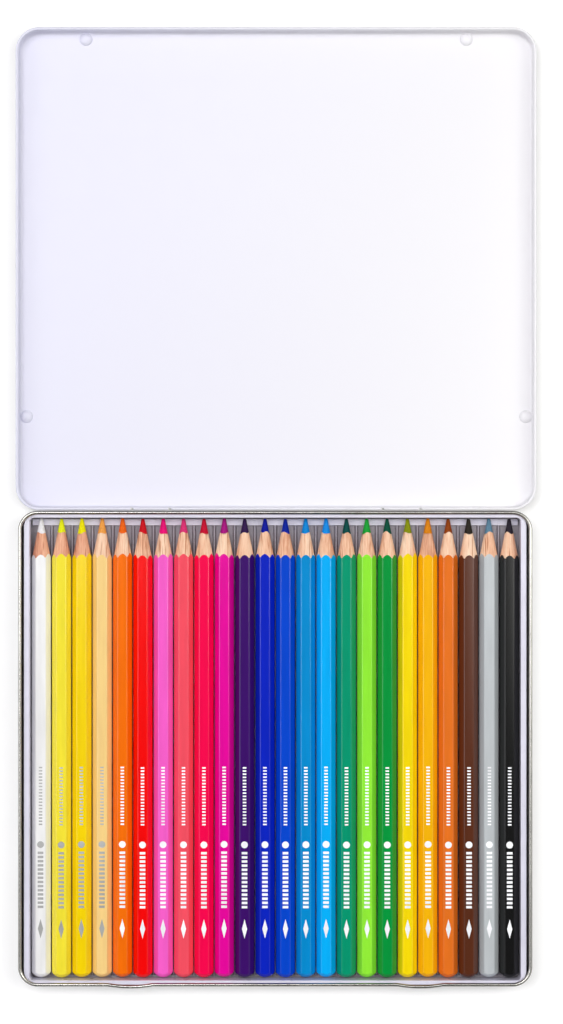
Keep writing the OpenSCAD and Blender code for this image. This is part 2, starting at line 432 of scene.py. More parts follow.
class Shader(Wiring):
    """One node material while it is being wired."""

    def __init__(self, name: str) -> None:
        """Start a material with its shader.

        Args:
            name: Name of the material.
        """
        self.material = bpy.data.materials.new(name)
        super().__init__(self.material)
        self.surface = self.tree.nodes["Principled BSDF"]

    def set(self, **sockets: object) -> None:
        """Set the shader's own sockets, with underscores for spaces in their names."""
        for key, value in sockets.items():
            self.surface.inputs[key.replace("_", " ")].default_value = value

    def place(self, stretch: Point = (1, 1, 1)) -> Socket:
        """Give the object's own coordinates, where a factor less than 1 draws a pattern out."""
        coords = self.node("ShaderNodeTexCoord")
        mapping = self.node("ShaderNodeMapping")
        mapping.inputs["Scale"].default_value = stretch
        self.link(coords.outputs["Object"], mapping.inputs["Vector"])
        return mapping.outputs["Vector"]

    def along(self, axis: str, low: float, high: float) -> Socket:
        """Give a value that runs from 0 to 1 between two places on one of the object's axes."""
        split = self.node("ShaderNodeSeparateXYZ")
        self.link(self.place(), split.inputs[0])
        return self.span(split.outputs[axis], (low, high))

    def noise(
        self, size: float, stretch: Point = (1, 1, 1), detail: float = 3.0, rough: float = 0.55
    ) -> Socket:
        """Give a grain.

        Args:
            size: Width of one grain.
            stretch: Factor on each axis.
            detail: Number of finer layers.
            rough: Weight of the finer layers.

        Returns:
            A value from 0 to 1.
        """
        grain = self.node("ShaderNodeTexNoise")
        grain.inputs["Scale"].default_value = 1 / size
        grain.inputs["Detail"].default_value = detail
        grain.inputs["Roughness"].default_value = rough
        self.link(self.place(stretch), grain.inputs["Vector"])
        return grain.outputs["Fac"]

    def blade_marks(self, per_mm: float, waver: float) -> Socket:
        """Give the fine ridges that a blade leaves across the pencil."""
        wave = self.node("ShaderNodeTexWave", wave_type="BANDS", bands_direction="Y")
        wave.inputs["Scale"].default_value = per_mm / MM
        wave.inputs["Distortion"].default_value = waver
        self.link(self.place(), wave.inputs["Vector"])
        return wave.outputs["Fac"]

    def ramp(self, value: Socket, stops: Sequence[tuple[float, Colour]]) -> Socket:
        """Turn a value into a colour.

        Args:
            value: What the colour depends on.
            stops: Places from 0 to 1 with their colours as seen.

        Returns:
            The colour.
        """
        ramp = self.node("ShaderNodeValToRGB")
        for k, (spot, colour) in enumerate(stops):
            stop = ramp.color_ramp.elements[k] if k < 2 else ramp.color_ramp.elements.new(spot)
            stop.position = spot
            stop.color = linear(colour)
        self.link(value, ramp.inputs["Fac"])
        return ramp.outputs["Color"]

    def mottle(
        self, grain: Socket, colour: Colour, low: float, high: float, reach: float = GRAIN_REACH
    ) -> Socket:
        """Vary a colour with a grain.

        Args:
            grain: The grain.
            colour: The colour.
            low: Factor on it where the grain is low.
            high: Factor on it where the grain is high.
            reach: How far the grain is followed to either side of 0.5.

        Returns:
            The varied colour.
        """
        stops = [(0.5 - reach, shade(colour, low)), (0.5 + reach, shade(colour, high))]
        return self.ramp(grain, stops)

    def multiply(self, first: Socket, second: Socket) -> Socket:
        """Multiply two colours."""
        mix = self.node("ShaderNodeMixRGB", blend_type="MULTIPLY")
        mix.inputs["Fac"].default_value = 1.0
        self.link(first, mix.inputs["Color1"])
        self.link(second, mix.inputs["Color2"])
        return mix.outputs["Color"]

    def bump(self, *layers: tuple[Socket, float]) -> None:
        """Raise the surface by grains.

        Args:
            *layers: Each a grain with its height.
        """
        normal = None
        for height, depth in layers:
            bump = self.node("ShaderNodeBump")
            bump.inputs["Strength"].default_value = 1.0
            bump.inputs["Distance"].default_value = depth
            self.link(height, bump.inputs["Height"])
            if normal is not None:
                self.link(normal, bump.inputs["Normal"])
            normal = bump.outputs["Normal"]
        self.link(normal, self.surface.inputs["Normal"])

    def colour(self, source: Socket) -> None:
        """Wire the colour of the surface."""
        self.link(source, self.surface.inputs["Base Color"])

    def roughness(self, grain: Socket, low: float, high: float) -> None:
        """Wire the roughness of the surface to a grain, between two values."""
        ends = (0.5 - GRAIN_REACH, 0.5 + GRAIN_REACH)
        self.link(self.span(grain, ends, (low, high)), self.surface.inputs["Roughness"])


def shade(rgb: Colour, factor: float) -> Colour:
    """Darken or lighten a colour.

    Args:
        rgb: The colour.
        factor: 1 leaves it as it is.

    Returns:
        The new colour, kept within 0 to 1.
    """
    return tuple(min(1.0, max(0.0, c * factor)) for c in rgb)


@dataclass(frozen=True)
class PencilLacquer:
    """Glossy paint dipped over the casing in thin coats."""

    name: str
    colour: Colour
    cloud: float = 2.6 * MM
    runs: float = 2.4 * MM
    dust: float = 0.25 * MM

    def make(self) -> Material:
        """Build the material."""
        paint = Shader(self.name)
        cloud = paint.noise(self.cloud, (1, 0.12, 1), 2.0)
        paint.colour(paint.mottle(cloud, self.colour, 0.965, 1.02, reach=0.25))
        paint.roughness(paint.noise(0.9 * MM), 0.26, 0.35)
        paint.set(Coat_Weight=1.0, Coat_Roughness=0.12, Coat_IOR=1.5, Specular_IOR_Level=0.0)
        paint.bump(
            (paint.noise(self.runs, (1, 0.06, 1), 1.0), 0.0015 * MM),
            (paint.noise(self.dust, (1, 0.5, 1), 2.0), 0.0002 * MM),
        )
        return paint.material


@dataclass(frozen=True)
class CedarWood:
    """Pale pinkish softwood, shaved to a cone."""

    name: str
    dark: Colour
    middle: Colour
    light: Colour
    vein: Colour = (0.80, 0.66, 0.58)
    streak: float = 0.42 * MM
    vein_wide: float = 0.55 * MM
    board: float = 9 * MM
    board_share: float = 0.62
    streak_share: float = 0.72
    offset: float = -0.17

    def make(self) -> Material:
        """Build the material."""
        wood = Shader(self.name)
        streaks = wood.noise(self.streak, (1, 0.05, 0.25), 4.0, 0.62)
        board = wood.noise(self.board, (1, 0.02, 0.02), 0.0)
        streaky = wood.reckon("ADD", wood.reckon("MULTIPLY", streaks, self.streak_share), self.offset)
        tone = wood.reckon("ADD", wood.reckon("MULTIPLY", board, self.board_share), streaky)
        body = wood.ramp(tone, [(0.30, self.dark), (0.47, self.middle), (0.68, self.light)])
        vein = wood.noise(self.vein_wide, (1, 0.03, 0.12), 1.0)
        wood.colour(wood.multiply(body, wood.ramp(vein, [(0.31, self.vein), (0.38, (1, 1, 1))])))
        wood.roughness(streaks, 0.62, 0.8)
        wood.bump((streaks, 0.06 * MM), (wood.blade_marks(0.9, 2.5), 0.012 * MM))
        return wood.material


@dataclass(frozen=True)
class WaxCore:
    """Waxy pigment, cut by the sharpener."""

    name: str
    colour: Colour
    speck: float = 0.3 * MM

    def make(self) -> Material:
        """Build the material."""
        wax = Shader(self.name)
        speckle = wax.noise(self.speck, (1, 0.4, 1), 3.0)
        wax.colour(wax.mottle(speckle, self.colour, 0.90, 1.05))
        wax.roughness(speckle, 0.42, 0.6)
        wax.set(Specular_IOR_Level=0.1)
        wax.bump((speckle, 0.03 * MM), (wax.blade_marks(1.2, 1.5), 0.015 * MM))
        return wax.material


@dataclass(frozen=True)
class StoveLacquer:
    """Baked white lacquer on tinplate with a faint orange peel, and painted light: its colour runs
    from a shaded lilac white at the left to a lighter white at the right.
    """

    name: str = "white_stove_lacquer"
    # Painted light: left is the shaded lilac white at the lid's left, right is the lighter white at
    # its right.
    left: Colour = (0.900, 0.898, 0.955)
    right: Colour = (0.955, 0.950, 0.960)
    half_width: float = 85 * MM
    peel: float = 3.0 * MM
    dust: float = 0.5 * MM

    def make(self) -> Material:
        """Build the material."""
        paint = Shader(self.name)
        # Painted light: the colour is ramped across the lid from shaded at the left to lighter at the
        # right.
        across = paint.along("X", -self.half_width, self.half_width)
        paint.colour(paint.ramp(across, [(0.0, self.left), (1.0, self.right)]))
        paint.roughness(paint.noise(6 * MM), 0.34, 0.42)
        paint.set(Coat_Weight=0.15, Coat_Roughness=0.22, Specular_IOR_Level=0.3)
        paint.bump(
            (paint.noise(self.peel, detail=1.0), 0.003 * MM),
            (paint.noise(self.dust, detail=1.0), 0.0003 * MM),
        )
        return paint.material


@dataclass(frozen=True)
class Metal:
    """Rolled sheet or drawn wire, with fine rolling marks."""

    name: str
    colour: Colour
    polish: float
    stretch: Point = (1, 1, 1)
    mark: float = 1.2 * MM
    cloud: float = 16 * MM

    def make(self) -> Material:
        """Build the material."""
        metal = Shader(self.name)
        marks = metal.noise(self.mark, self.stretch, 1.0)
        cloud = metal.noise(self.cloud, detail=1.0)
        metal.colour(metal.mottle(cloud, self.colour, 0.94, 1.03))
        metal.roughness(marks, self.polish - 0.02, self.polish + 0.03)
        metal.set(Metallic=1.0)
        metal.bump((marks, 0.0001 * MM), (cloud, 0.002 * MM))
        return metal.material


@dataclass(frozen=True)
class FormedPlastic:
    """Smooth vacuum-formed sheet, with painted shade: low in the hollow, on the floor and ribs between
    and under the pencils, its colour is darkened.
    """

    name: str = "formed_plastic"
    colour: Colour = (0.885, 0.875, 0.935)
    # Painted shade: thin is the darker colour of the sheet low in the hollow, between the pencils; it
    # fades out between the two heights below.
    thin: Colour = (0.66, 0.64, 0.64)
    full_shade_below: float = 1.6 * MM
    no_shade_above: float = 2.15 * MM
    cloud: float = 11 * MM
    ripple: float = 5 * MM
    dust: float = 0.6 * MM

    def make(self) -> Material:
        """Build the material."""
        sheet = Shader(self.name)
        body = sheet.mottle(sheet.noise(self.cloud, detail=2.0), self.colour, 0.975, 1.02)
        # Painted shade: the colour darkens towards the tray's floor, and is fully dark below the lower
        # height.
        drawn = sheet.along("Z", self.full_shade_below, self.no_shade_above)
        sheet.colour(sheet.multiply(body, sheet.ramp(drawn, [(0.0, self.thin), (1.0, (1, 1, 1))])))
        sheet.roughness(sheet.noise(3 * MM), 0.26, 0.38)
        sheet.set(Specular_IOR_Level=0.5, Coat_Weight=0.25, Coat_Roughness=0.12)
        sheet.bump(
            (sheet.noise(self.ripple, detail=2.0), 0.05 * MM),
            (sheet.noise(self.dust, detail=1.0), 0.002 * MM),
        )
        return sheet.material


# Shells drawn from sheet


@dataclass
class RimPath:
    """The rounded outline that a rim profile is drawn along."""

    width: float
    depth: float
    corner: float
    middle_y: float = 0.0
    corner_steps: int = 14
    front_stops: tuple[float, ...] = ()

    def draw(self, name: str, profile: Sequence[tuple[float, float]], side: Side) -> Workpiece:
        """Sweep a profile once round the outline.

        Args:
            name: Name of the new piece.
            profile: Points as distance outside the outline and height.
            side: The way that the sheet's faces look.

        Returns:
            The open sheet, centred on X.
        """
        back = self.middle_y + self.depth / 2
        front = self.middle_y - self.depth / 2
        straight = self.width / 2 - self.corner
        piece = Workpiece.line(name, [(0, back + out, z) for out, z in profile])
        with piece.editing():
            bpy.ops.mesh.select_all(action="SELECT")
            piece.walk((straight, 0, 0))
            piece.turn((straight, back - self.corner, 0), -90, self.corner_steps)
            piece.walk((0, 2 * self.corner - self.depth, 0))
            piece.turn((straight, front + self.corner, 0), -90, self.corner_steps)
            here = straight
            for stop in (*sorted(self.front_stops, reverse=True), 0.0):
                piece.walk((stop - here, 0, 0))
                here = stop
            piece.weld()
        piece.modify(
            "MIRROR", use_axis=(True, False, False), use_mirror_merge=True, merge_threshold=1e-6
        )
        with piece.editing():
            piece.face_out()
        piece.face(side, self.width / 2 - 0.5 * self.corner)
        return piece


@dataclass
class BaseTin:
    """The drawn base: a pan with a rim rolled inwards, finger bulges and hinge lugs."""

    sheet: float = SHEET
    width: float = 195.259 * MM
    depth: float = 180.55 * MM
    height: float = 12 * MM
    corner: float = 7.5 * MM
    edge: float = 1.5 * MM
    bead: float = 1.4 * MM
    bulge_x: float = 55 * MM
    bulge_w: float = 17 * MM
    bulge_out: float = 0.75 * MM
    shelf: float = 8.5 * MM
    bulge_steps: int = 16
    hinge_x: float = HINGE_X
    hinge_y: float = 91.025 * MM
    hinge_z: float = HINGE_Z
    lug_reach: float = 7.2 * MM
    lug_t: float = 0.4 * MM
    lug_d: float = 1.2 * MM
    lug_edge: float = 0.04 * MM

    def profile(self) -> list:
        """Draw the outer face of wall and rim, from the floor's edge to the end of the roll."""
        rim = self.height - self.bead / 2
        return [
            *arc((-self.edge, self.edge), self.edge, -90, 0, 6),
            (0, self.shelf - 0.1 * MM),
            (0, self.shelf + 0.25 * MM),
            *arc((-self.bead / 2, rim), self.bead / 2, 0, 290, 20),
        ]

    def bulge_depth(self, x: float) -> float:
        """Give how far the rim stands out at a distance from the middle of the tin, from 0 to 1."""
        radius = (self.bulge_w**2 / 4 + self.bulge_out**2) / (2 * self.bulge_out)
        off = abs(abs(x) - self.bulge_x)
        if off >= self.bulge_w / 2:
            return 0.0
        return (math.sqrt(radius**2 - off**2) - radius + self.bulge_out) / self.bulge_out

    def press_bulges(self, pan: Workpiece) -> None:
        """Push the rim out over the shelf at both finger bulges.

        Args:
            pan: The open sheet of the base.
        """
        group = pan.obj.vertex_groups.new(name="bulges")
        for vert in pan.obj.data.vertices:
            if vert.co.z > self.shelf and vert.co.y < -self.depth / 2 + 2 * self.bead:
                group.add([vert.index], self.bulge_depth(vert.co.x), "REPLACE")
        pan.modify(
            "DISPLACE",
            direction="Y",
            strength=-self.bulge_out,
            mid_level=0.0,
            vertex_group="bulges",
        )

    def lug(self, x: float) -> Workpiece:
        """Cut one ear that holds a pin's end.

        Args:
            x: Its place along the rear wall.

        Returns:
            The ear.
        """
        ear = Workpiece.shaped(
            "lug",
            bpy.ops.mesh.primitive_cylinder_add,
            vertices=24,
            radius=self.lug_d / 2,
            depth=self.lug_t,
            location=(x, self.hinge_y, self.hinge_z),
            rotation=(0, math.pi / 2, 0),
        )
        root = self.depth / 2 - self.sheet / 2
        with ear.editing():
            ear.pick(
                Pick.FACES,
                lambda at: at.y < self.hinge_y - CLOSE and abs(at.x - x) < 0.1 * self.lug_t,
            )
            ear.walk((0, root - self.hinge_y, 0))
            bpy.ops.transform.resize(value=(1, 0, 1), center_override=(x, root, self.hinge_z))
            ear.face_out()
        ear.modify("BEVEL", width=self.lug_edge, segments=1, limit_method="ANGLE")
        return ear

    def build(self, outside: Material, inside: Material) -> Workpiece:
        """Make the base.

        Args:
            outside: Finish of the outer face and the rolled rim.
            inside: Finish of the inner face.

        Returns:
            The finished piece.
        """
        stops = tuple(
            self.bulge_x + self.bulge_w * (k / self.bulge_steps - 0.5)
            for k in range(self.bulge_steps + 1)
        )
        path = RimPath(self.width, self.depth, self.corner, front_stops=stops)
        pan = path.draw("tin_base_shell", self.profile(), Side.OUT)
        self.press_bulges(pan)
        with pan.editing():
            pan.pick_open_edges(lambda at: at.z < 0.5 * self.edge)
            bpy.ops.mesh.edge_face_add()
            pan.face_out()
        pan.face(Side.OUT, self.width / 2 - NEAR_WALL)
        pan.dress(outside, inside)
        pan.thicken(self.sheet, inner_slot=1)
        places = [s * self.hinge_x + e * self.lug_reach for s in (-1, 1) for e in (-1, 1)]
        pan.join([self.lug(x) for x in places])
        pan.smooth(40)
        pan.hand_over("base", "tinplate", "base_tin")
        return pan


@dataclass
class LidTin:
    """The drawn lid, open: a pan with a rim rolled outwards, hinge tongues and pressed stops."""

    sheet: float = SHEET
    width: float = 196.259 * MM
    depth: float = 181.75 * MM
    near: float = 91.575 * MM
    corner: float = 8.0 * MM
    fillet: float = 1.0 * MM
    curl: float = 1.1 * MM
    hinge_z: float = HINGE_Z
    shift: float = 0.35 * MM
    hinge_x: float = HINGE_X
    tongue: float = 13.2 * MM
    slot: float = 1.2 * MM
    slot_r: float = 0.95 * MM
    stop_r: float = 2.5 * MM
    stop_h: float = 1.3 * MM
    stop_inset: float = 2.6 * MM
    stop_x: float = 72.8 * MM
    stop_y: float = 126.325 * MM
    stop_steps: int = 7
    flat_edge: float = 0.5 * MM

    def profile(self) -> list:
        """Draw the inner face of wall and rim, from the floor's edge to the end of the roll."""
        return [
            *arc((-self.fillet, self.sheet + self.fillet), self.fillet, -90, 0, 7),
            (0, self.hinge_z - self.slot_r),
            *arc((self.curl / 2, self.hinge_z), self.curl / 2, 180, -80, 18),
        ]

    def domes(self, radius: float, height: float, foot: float) -> Workpiece:
        """Turn a soft round dome for each stop, all in one helper.

        Args:
            radius: Radius at the foot.
            height: Height above the foot.
            foot: Height of the foot.

        Returns:
            Four closed domes.
        """
        far = self.near + self.depth - self.stop_inset
        edge = self.width / 2 - self.stop_inset
        made = []
        for x, y in (
            (-self.stop_x, far), (self.stop_x, far), (-edge, self.stop_y), (edge, self.stop_y)
        ):
            dome = Workpiece.shaped(
                "dome",
                bpy.ops.mesh.primitive_circle_add,
                vertices=32,
                radius=radius,
                fill_type="NGON",
                location=(x, y, foot),
            )
            wide, high = 1.0, 0.0
            with dome.editing():
                bpy.ops.mesh.select_all(action="SELECT")
                for k in range(1, self.stop_steps + 1):
                    angle = 0.5 * math.pi * k / (self.stop_steps + 0.6)
                    rise = height * math.sin(angle)
                    dome.walk((0, 0, rise - high))
                    factor = math.cos(angle) / wide
                    bpy.ops.transform.resize(
                        value=(factor, factor, 1), center_override=(x, y, foot + rise)
                    )
                    wide, high = wide * factor, rise
                dome.face_out()
            made.append(dome)
        made[0].join(made[1:])
        return made[0]

    def press_stops(self, pan: Workpiece) -> None:
        """Raise the four stops from the floor and hollow them from below.

        Args:
            pan: The lid with its full thickness.
        """
        for slot, operation, radius, height, foot in (
            (0, "UNION", self.stop_r, self.stop_h + self.sheet / 2, self.sheet / 2),
            (1, "DIFFERENCE", self.stop_r - 0.8 * self.sheet, self.stop_h, -CLOSE),
        ):
            tool = self.domes(radius, height, foot)
            for face in tool.obj.data.polygons:
                face.material_index = slot
            pan.modify("BOOLEAN", operation=operation, object=tool.obj, solver="EXACT")
            tool.remove()

    def build(self, lacquer: Material, outside: Material) -> Workpiece:
        """Make the lid.

        Args:
            lacquer: Finish of the inner face and the rolled rim.
            outside: Finish of the outer face.

        Returns:
            The finished piece.
        """
        cuts = [
            s * self.hinge_x + e * (self.tongue / 2 + f * self.slot)
            for s in (-1, 1)
            for e in (-1, 1)
            for f in (0, 1)
        ]
        path = RimPath(
            self.width,
            self.depth,
            self.corner,
            self.near + self.depth / 2,
            front_stops=tuple(x for x in cuts if x > 0),
        )
        pan = path.draw("tin_lid_shell", self.profile(), Side.IN)
        with pan.editing():
            for low, high in zip(cuts[0::2], cuts[1::2]):
                left, right = min(low, high), max(low, high)
                pan.pick(
                    Pick.FACES,
                    lambda at: left < at.x < right
                    and at.y < self.near + NEAR_WALL
                    and at.z > self.hinge_z - self.slot_r,
                )
                bpy.ops.mesh.delete(type="FACE")
            pan.pick_open_edges(lambda at: at.z < 1.1 * self.sheet)
            bpy.ops.mesh.edge_face_add()
            bpy.ops.mesh.inset(thickness=self.flat_edge)
            pan.face_out()
        pan.face(Side.IN, self.width / 2 - NEAR_WALL)
        pan.dress(lacquer, outside)
        pan.thicken(self.sheet, inner_slot=1)
        self.press_stops(pan)
        pan.settle((self.shift, 0, 0))
        pan.smooth(40)
        pan.hand_over("lid", "white_lacquer", "lid_tin")
        return pan


@dataclass
class PencilTray:
    """The formed plastic tray: flange, hollow, ribs between the pencils and a ledge."""

    sheet: float = 0.4 * MM
    outer_w: float = 190.859 * MM
    outer_d: float = 179.45 * MM
    outer_r: float = 5.3 * MM
    hollow_w: float = 186.559 * MM
    hollow_d: float = 175.7 * MM
    hollow_y: float = -0.225 * MM
    hollow_r: float = 1.5 * MM
    top: float = 10.3 * MM
    floor: float = 0.7 * MM
    lip: float = 0.22 * MM
    count: int = 23
    pitch: float = PITCH
    rib_half: float = 0.777 * MM
    rib_top: float = 0.2 * MM
    rib_h: float = 1.0 * MM
    ledge_w: float = 3 * MM
    ledge_h: float = 1.5 * MM
    margin: float = 0.45 * MM
    foot: float = 0.12 * MM
    rib_start: float = 1.0 * MM
    rib_end: float = 0.35 * MM
    fold: float = 0.14 * MM
    tub_seam: float = 0.3 * MM
    rim_seam: float = 0.8 * MM

    def flange(self) -> Workpiece:
        """Draw the hollow's walls and the flange with its turned-down lip."""
        tub = RimPath(
            self.hollow_w, self.hollow_d, self.hollow_r, self.hollow_y, corner_steps=8
        ).draw(
            "pencil_tray_sheet",
            [
                (0, self.floor),
                *arc((self.lip, self.top - self.lip), self.lip, 180, 90, 5),
                (self.lip + self.tub_seam, self.top),
            ],
            Side.IN,
        )
        rim = RimPath(self.outer_w, self.outer_d, self.outer_r).draw(
            "lip",
            [
                (-self.rim_seam, self.top),
                *arc((-self.lip, self.top - self.lip), self.lip, 90, 0, 5),
                (0, self.top - 2.2 * self.lip),
            ],
            Side.OUT,
        )
        tub.join([rim])
        with tub.editing():
            tub.pick_open_edges(lambda at: at.z > self.top - CLOSE)
            bpy.ops.mesh.fill()
        return tub

    def rib_line(self, y: float) -> list:
        """List the points across the tray's floor, over every rib."""
        edge = self.hollow_w / 2 - self.margin
        points = [(-edge, y, self.floor), (self.foot - edge, y, self.floor)]
        first = -self.pitch * (self.count - 1) / 2
        for k in range(self.count):
            x = first + k * self.pitch
            points += [
                (x - self.rib_half, y, self.floor),
                (x - self.rib_top, y, self.floor + self.rib_h),
                (x + self.rib_top, y, self.floor + self.rib_h),
                (x + self.rib_half, y, self.floor),
            ]
        return points + [(edge - self.foot, y, self.floor), (edge, y, self.floor)]

    def ribs(self) -> Workpiece:
        """Draw the ribbed floor with the ledge behind it, as one sheet of crossing lines."""
        front = self.hollow_y - self.hollow_d / 2
        back = self.hollow_y + self.hollow_d / 2
        start = front + self.rib_start
        ledge = back - self.ledge_w
        strip = Workpiece.line("ribbed_floor", self.rib_line(start))
        edge = self.hollow_w / 2 - self.margin - self.foot / 2
        with strip.editing():
            bpy.ops.mesh.select_all(action="SELECT")
            strip.walk((0, ledge - start, 0))
            for y, height in (
                (ledge + self.foot, self.ledge_h),
                (back - self.margin - self.foot, self.ledge_h),
                (back - self.margin, 0.0),
            ):
                self.next_line(strip, y, height, edge)
            strip.pick(Pick.EDGES, lambda at: at.y < start + CLOSE)
            for y in (start - self.rib_end, front + self.margin):
                self.next_line(strip, y, 0.0, edge)
            strip.weld()
        return strip

    def next_line(self, strip: Workpiece, y: float, height: float, edge: float) -> None:
        """Extrude the last line across the floor to a new place and flatten it.

        Args:
            strip: The ribbed floor.
            y: Where the new line lies.
            height: Its height over the floor, except at its two ends.
            edge: Distance from the middle past which a point stays on the floor.
        """
        strip.walk((0, 0, 0))
        bm = bmesh.from_edit_mesh(strip.obj.data)
        for vert in bm.verts:
            if vert.select:
                lift = height if abs(vert.co.x) < edge else 0.0
                vert.co.y, vert.co.z = y, self.floor + lift
        bmesh.update_edit_mesh(strip.obj.data)

    def build(self, plastic: Material) -> Workpiece:
        """Make the tray.

        Args:
            plastic: Its finish.

        Returns:
            The finished piece.
        """
        tray = self.flange()
        tray.join([self.ribs()])
        with tray.editing():
            tray.pick_open_edges(lambda at: at.z < self.floor + CLOSE)
            bpy.ops.mesh.fill()
            tray.weld()
            tray.face_out()
        if sum(p.normal.z * p.area for p in tray.obj.data.polygons) < 0:
            tray.flip()
        tray.dress(plastic)
        tray.modify(
            "BEVEL",
            width=self.fold,
            segments=2,
            limit_method="ANGLE",
            angle_limit=math.radians(30),
            use_clamp_overlap=True,
        )
        tray.thicken(self.sheet, even=False)
        tray.smooth(40)
        tray.hand_over("base", "tray_plastic", "pencil_tray")
        return tray


class Wood(Enum):
    """The two shades of softwood in the set, each with its dark, middle and light colour."""

    ROSY = ((0.74, 0.44, 0.33), (0.90, 0.63, 0.50), (0.97, 0.76, 0.62))
    PALE = ((0.84, 0.58, 0.44), (0.96, 0.76, 0.62), (1.0, 0.88, 0.76))

    def finish(self) -> CedarWood:
        """Give the finish of this wood."""
        return CedarWood(f"{self.name.lower()}_wood", *self.value)


@dataclass(frozen=True)
class PencilColour:
    """One pencil of the set: name, colours of lacquer and core, wood, and whether its foil is dull."""

    name: str
    lacquer: Colour
    core: Colour
    wood: Wood = Wood.PALE
    dull: bool = False


PENCILS = (
    PencilColour("white", (0.965, 0.965, 0.96), (1.0, 1.0, 1.0), Wood.ROSY, dull=True),
    PencilColour("lemon", (0.98, 0.91, 0.22), (0.93, 0.95, 0.10), Wood.ROSY, dull=True),
    PencilColour("yellow", (1.00, 0.85, 0.01), (0.99, 0.93, 0.02), Wood.ROSY, dull=True),
    PencilColour("apricot", (1.00, 0.84, 0.54), (0.97, 0.65, 0.30), dull=True),
    PencilColour("orange", (1.00, 0.45, 0.02), (0.96, 0.41, 0.08)),
    PencilColour("red", (0.99, 0.01, 0.01), (0.82, 0.06, 0.12)),
    PencilColour("pink", (0.99, 0.38, 0.80), (0.93, 0.05, 0.47)),
    PencilColour("coral", (0.98, 0.32, 0.39), (0.88, 0.20, 0.47)),
    PencilColour("crimson", (1.00, 0.01, 0.31), (0.80, 0.05, 0.20)),
    PencilColour("magenta", (0.92, 0.01, 0.62), (0.66, 0.08, 0.50)),
    PencilColour("violet", (0.24, 0.05, 0.42), (0.20, 0.10, 0.30)),
    PencilColour("ultramarine", (0.03, 0.14, 0.76), (0.04, 0.10, 0.62)),
    PencilColour("blue", (0.01, 0.28, 0.82), (0.02, 0.14, 0.62)),
    PencilColour("cerulean", (0.01, 0.56, 0.83), (0.05, 0.54, 0.85)),
    PencilColour("sky_blue", (0.01, 0.70, 1.00), (0.09, 0.56, 0.91)),
    PencilColour("viridian", (0.01, 0.60, 0.44), (0.02, 0.30, 0.28)),
    PencilColour("lime", (0.58, 0.94, 0.22), (0.10, 0.64, 0.22)),
    PencilColour("green", (0.01, 0.60, 0.24), (0.02, 0.32, 0.24)),
    PencilColour("olive_yellow", (0.99, 0.87, 0.02), (0.54, 0.58, 0.03)),
    PencilColour("golden", (1.00, 0.73, 0.03), (0.89, 0.54, 0.08)),
    PencilColour("sienna", (0.92, 0.46, 0.13), (0.58, 0.26, 0.04)),
    PencilColour("brown", (0.36, 0.18, 0.10), (0.18, 0.16, 0.13)),
    PencilColour("grey", (0.76, 0.78, 0.79), (0.38, 0.53, 0.62)),
    PencilColour("black", (0.08, 0.08, 0.08), (0.17, 0.15, 0.19)),
)


@dataclass(frozen=True)
class FoilMark:
    """One kind of plain mark in the print, with its places along the pencil from its rear end."""

    corners: int
    radius: float
    start: float
    wide: float
    turn: float = 0.0
    count: int = 1
    step: float = 0.0

    def cut(self, y: float, height: float) -> Workpiece:
        """Cut one mark as a thin slab.

        Args:
            y: Its distance from the pencil's rear end.
            height: Where its underside lies.

        Returns:
            The slab.
        """
        mark = Workpiece.shaped(
            "mark",
            bpy.ops.mesh.primitive_circle_add,
            vertices=self.corners,
            radius=self.radius,
            fill_type="NGON",
            location=(0, y, height),
            rotation=(0, 0, math.radians(self.turn)),
        )
        stretch = (max(self.wide, 1), max(1 / self.wide, 1), 1)
        with mark.editing():
            bpy.ops.mesh.select_all(action="SELECT")
            bpy.ops.transform.resize(value=stretch, center_override=(0, y, 0))
            mark.walk((0, 0, FOIL_SLAB))
            mark.face_out()
        return mark


# Two rows of bars, a disc and a lozenge.
FOIL_MARKS = (
    FoilMark(4, 0.66 * MM, 27.2 * MM, 2.3, 45, count=14, step=1.58 * MM),
    FoilMark(4, 0.40 * MM, 58.6 * MM, 2.4, 45, count=19, step=1.2 * MM),
    FoilMark(20, 1.3 * MM, 50.9 * MM, 1.0),
    FoilMark(4, 1.0 * MM, 18.9 * MM, 0.27),
)


@dataclass
class SharpenerCut:
    """How the sharpener met one pencil: the lean of its cone and the uneven end of the wood."""

    lean_x: float
    lean_z: float
    skew: float
    skew_turn: float
    wave: float
    wave_turn: float
    split: float = 0.75 * MM

    @classmethod
    def draw(cls, dice: random.Random) -> "SharpenerCut":
        """Draw one pencil's cut."""
        return cls(
            math.radians(dice.uniform(-MOST_LEAN, MOST_LEAN)),
            math.radians(dice.uniform(-MOST_LEAN, MOST_LEAN)),
            dice.uniform(*SKEW) * MM,
            dice.uniform(0, math.tau),
            dice.uniform(*WAVE) * MM,
            dice.uniform(0, math.tau),
        )

    def slip(self, around: float) -> float:
        """Give how far the wood has split off behind the core's edge, at an angle round it."""
        tilt = self.skew * math.cos(around - self.skew_turn)
        return self.split + tilt + self.wave * math.cos(3 * around - self.wave_turn)


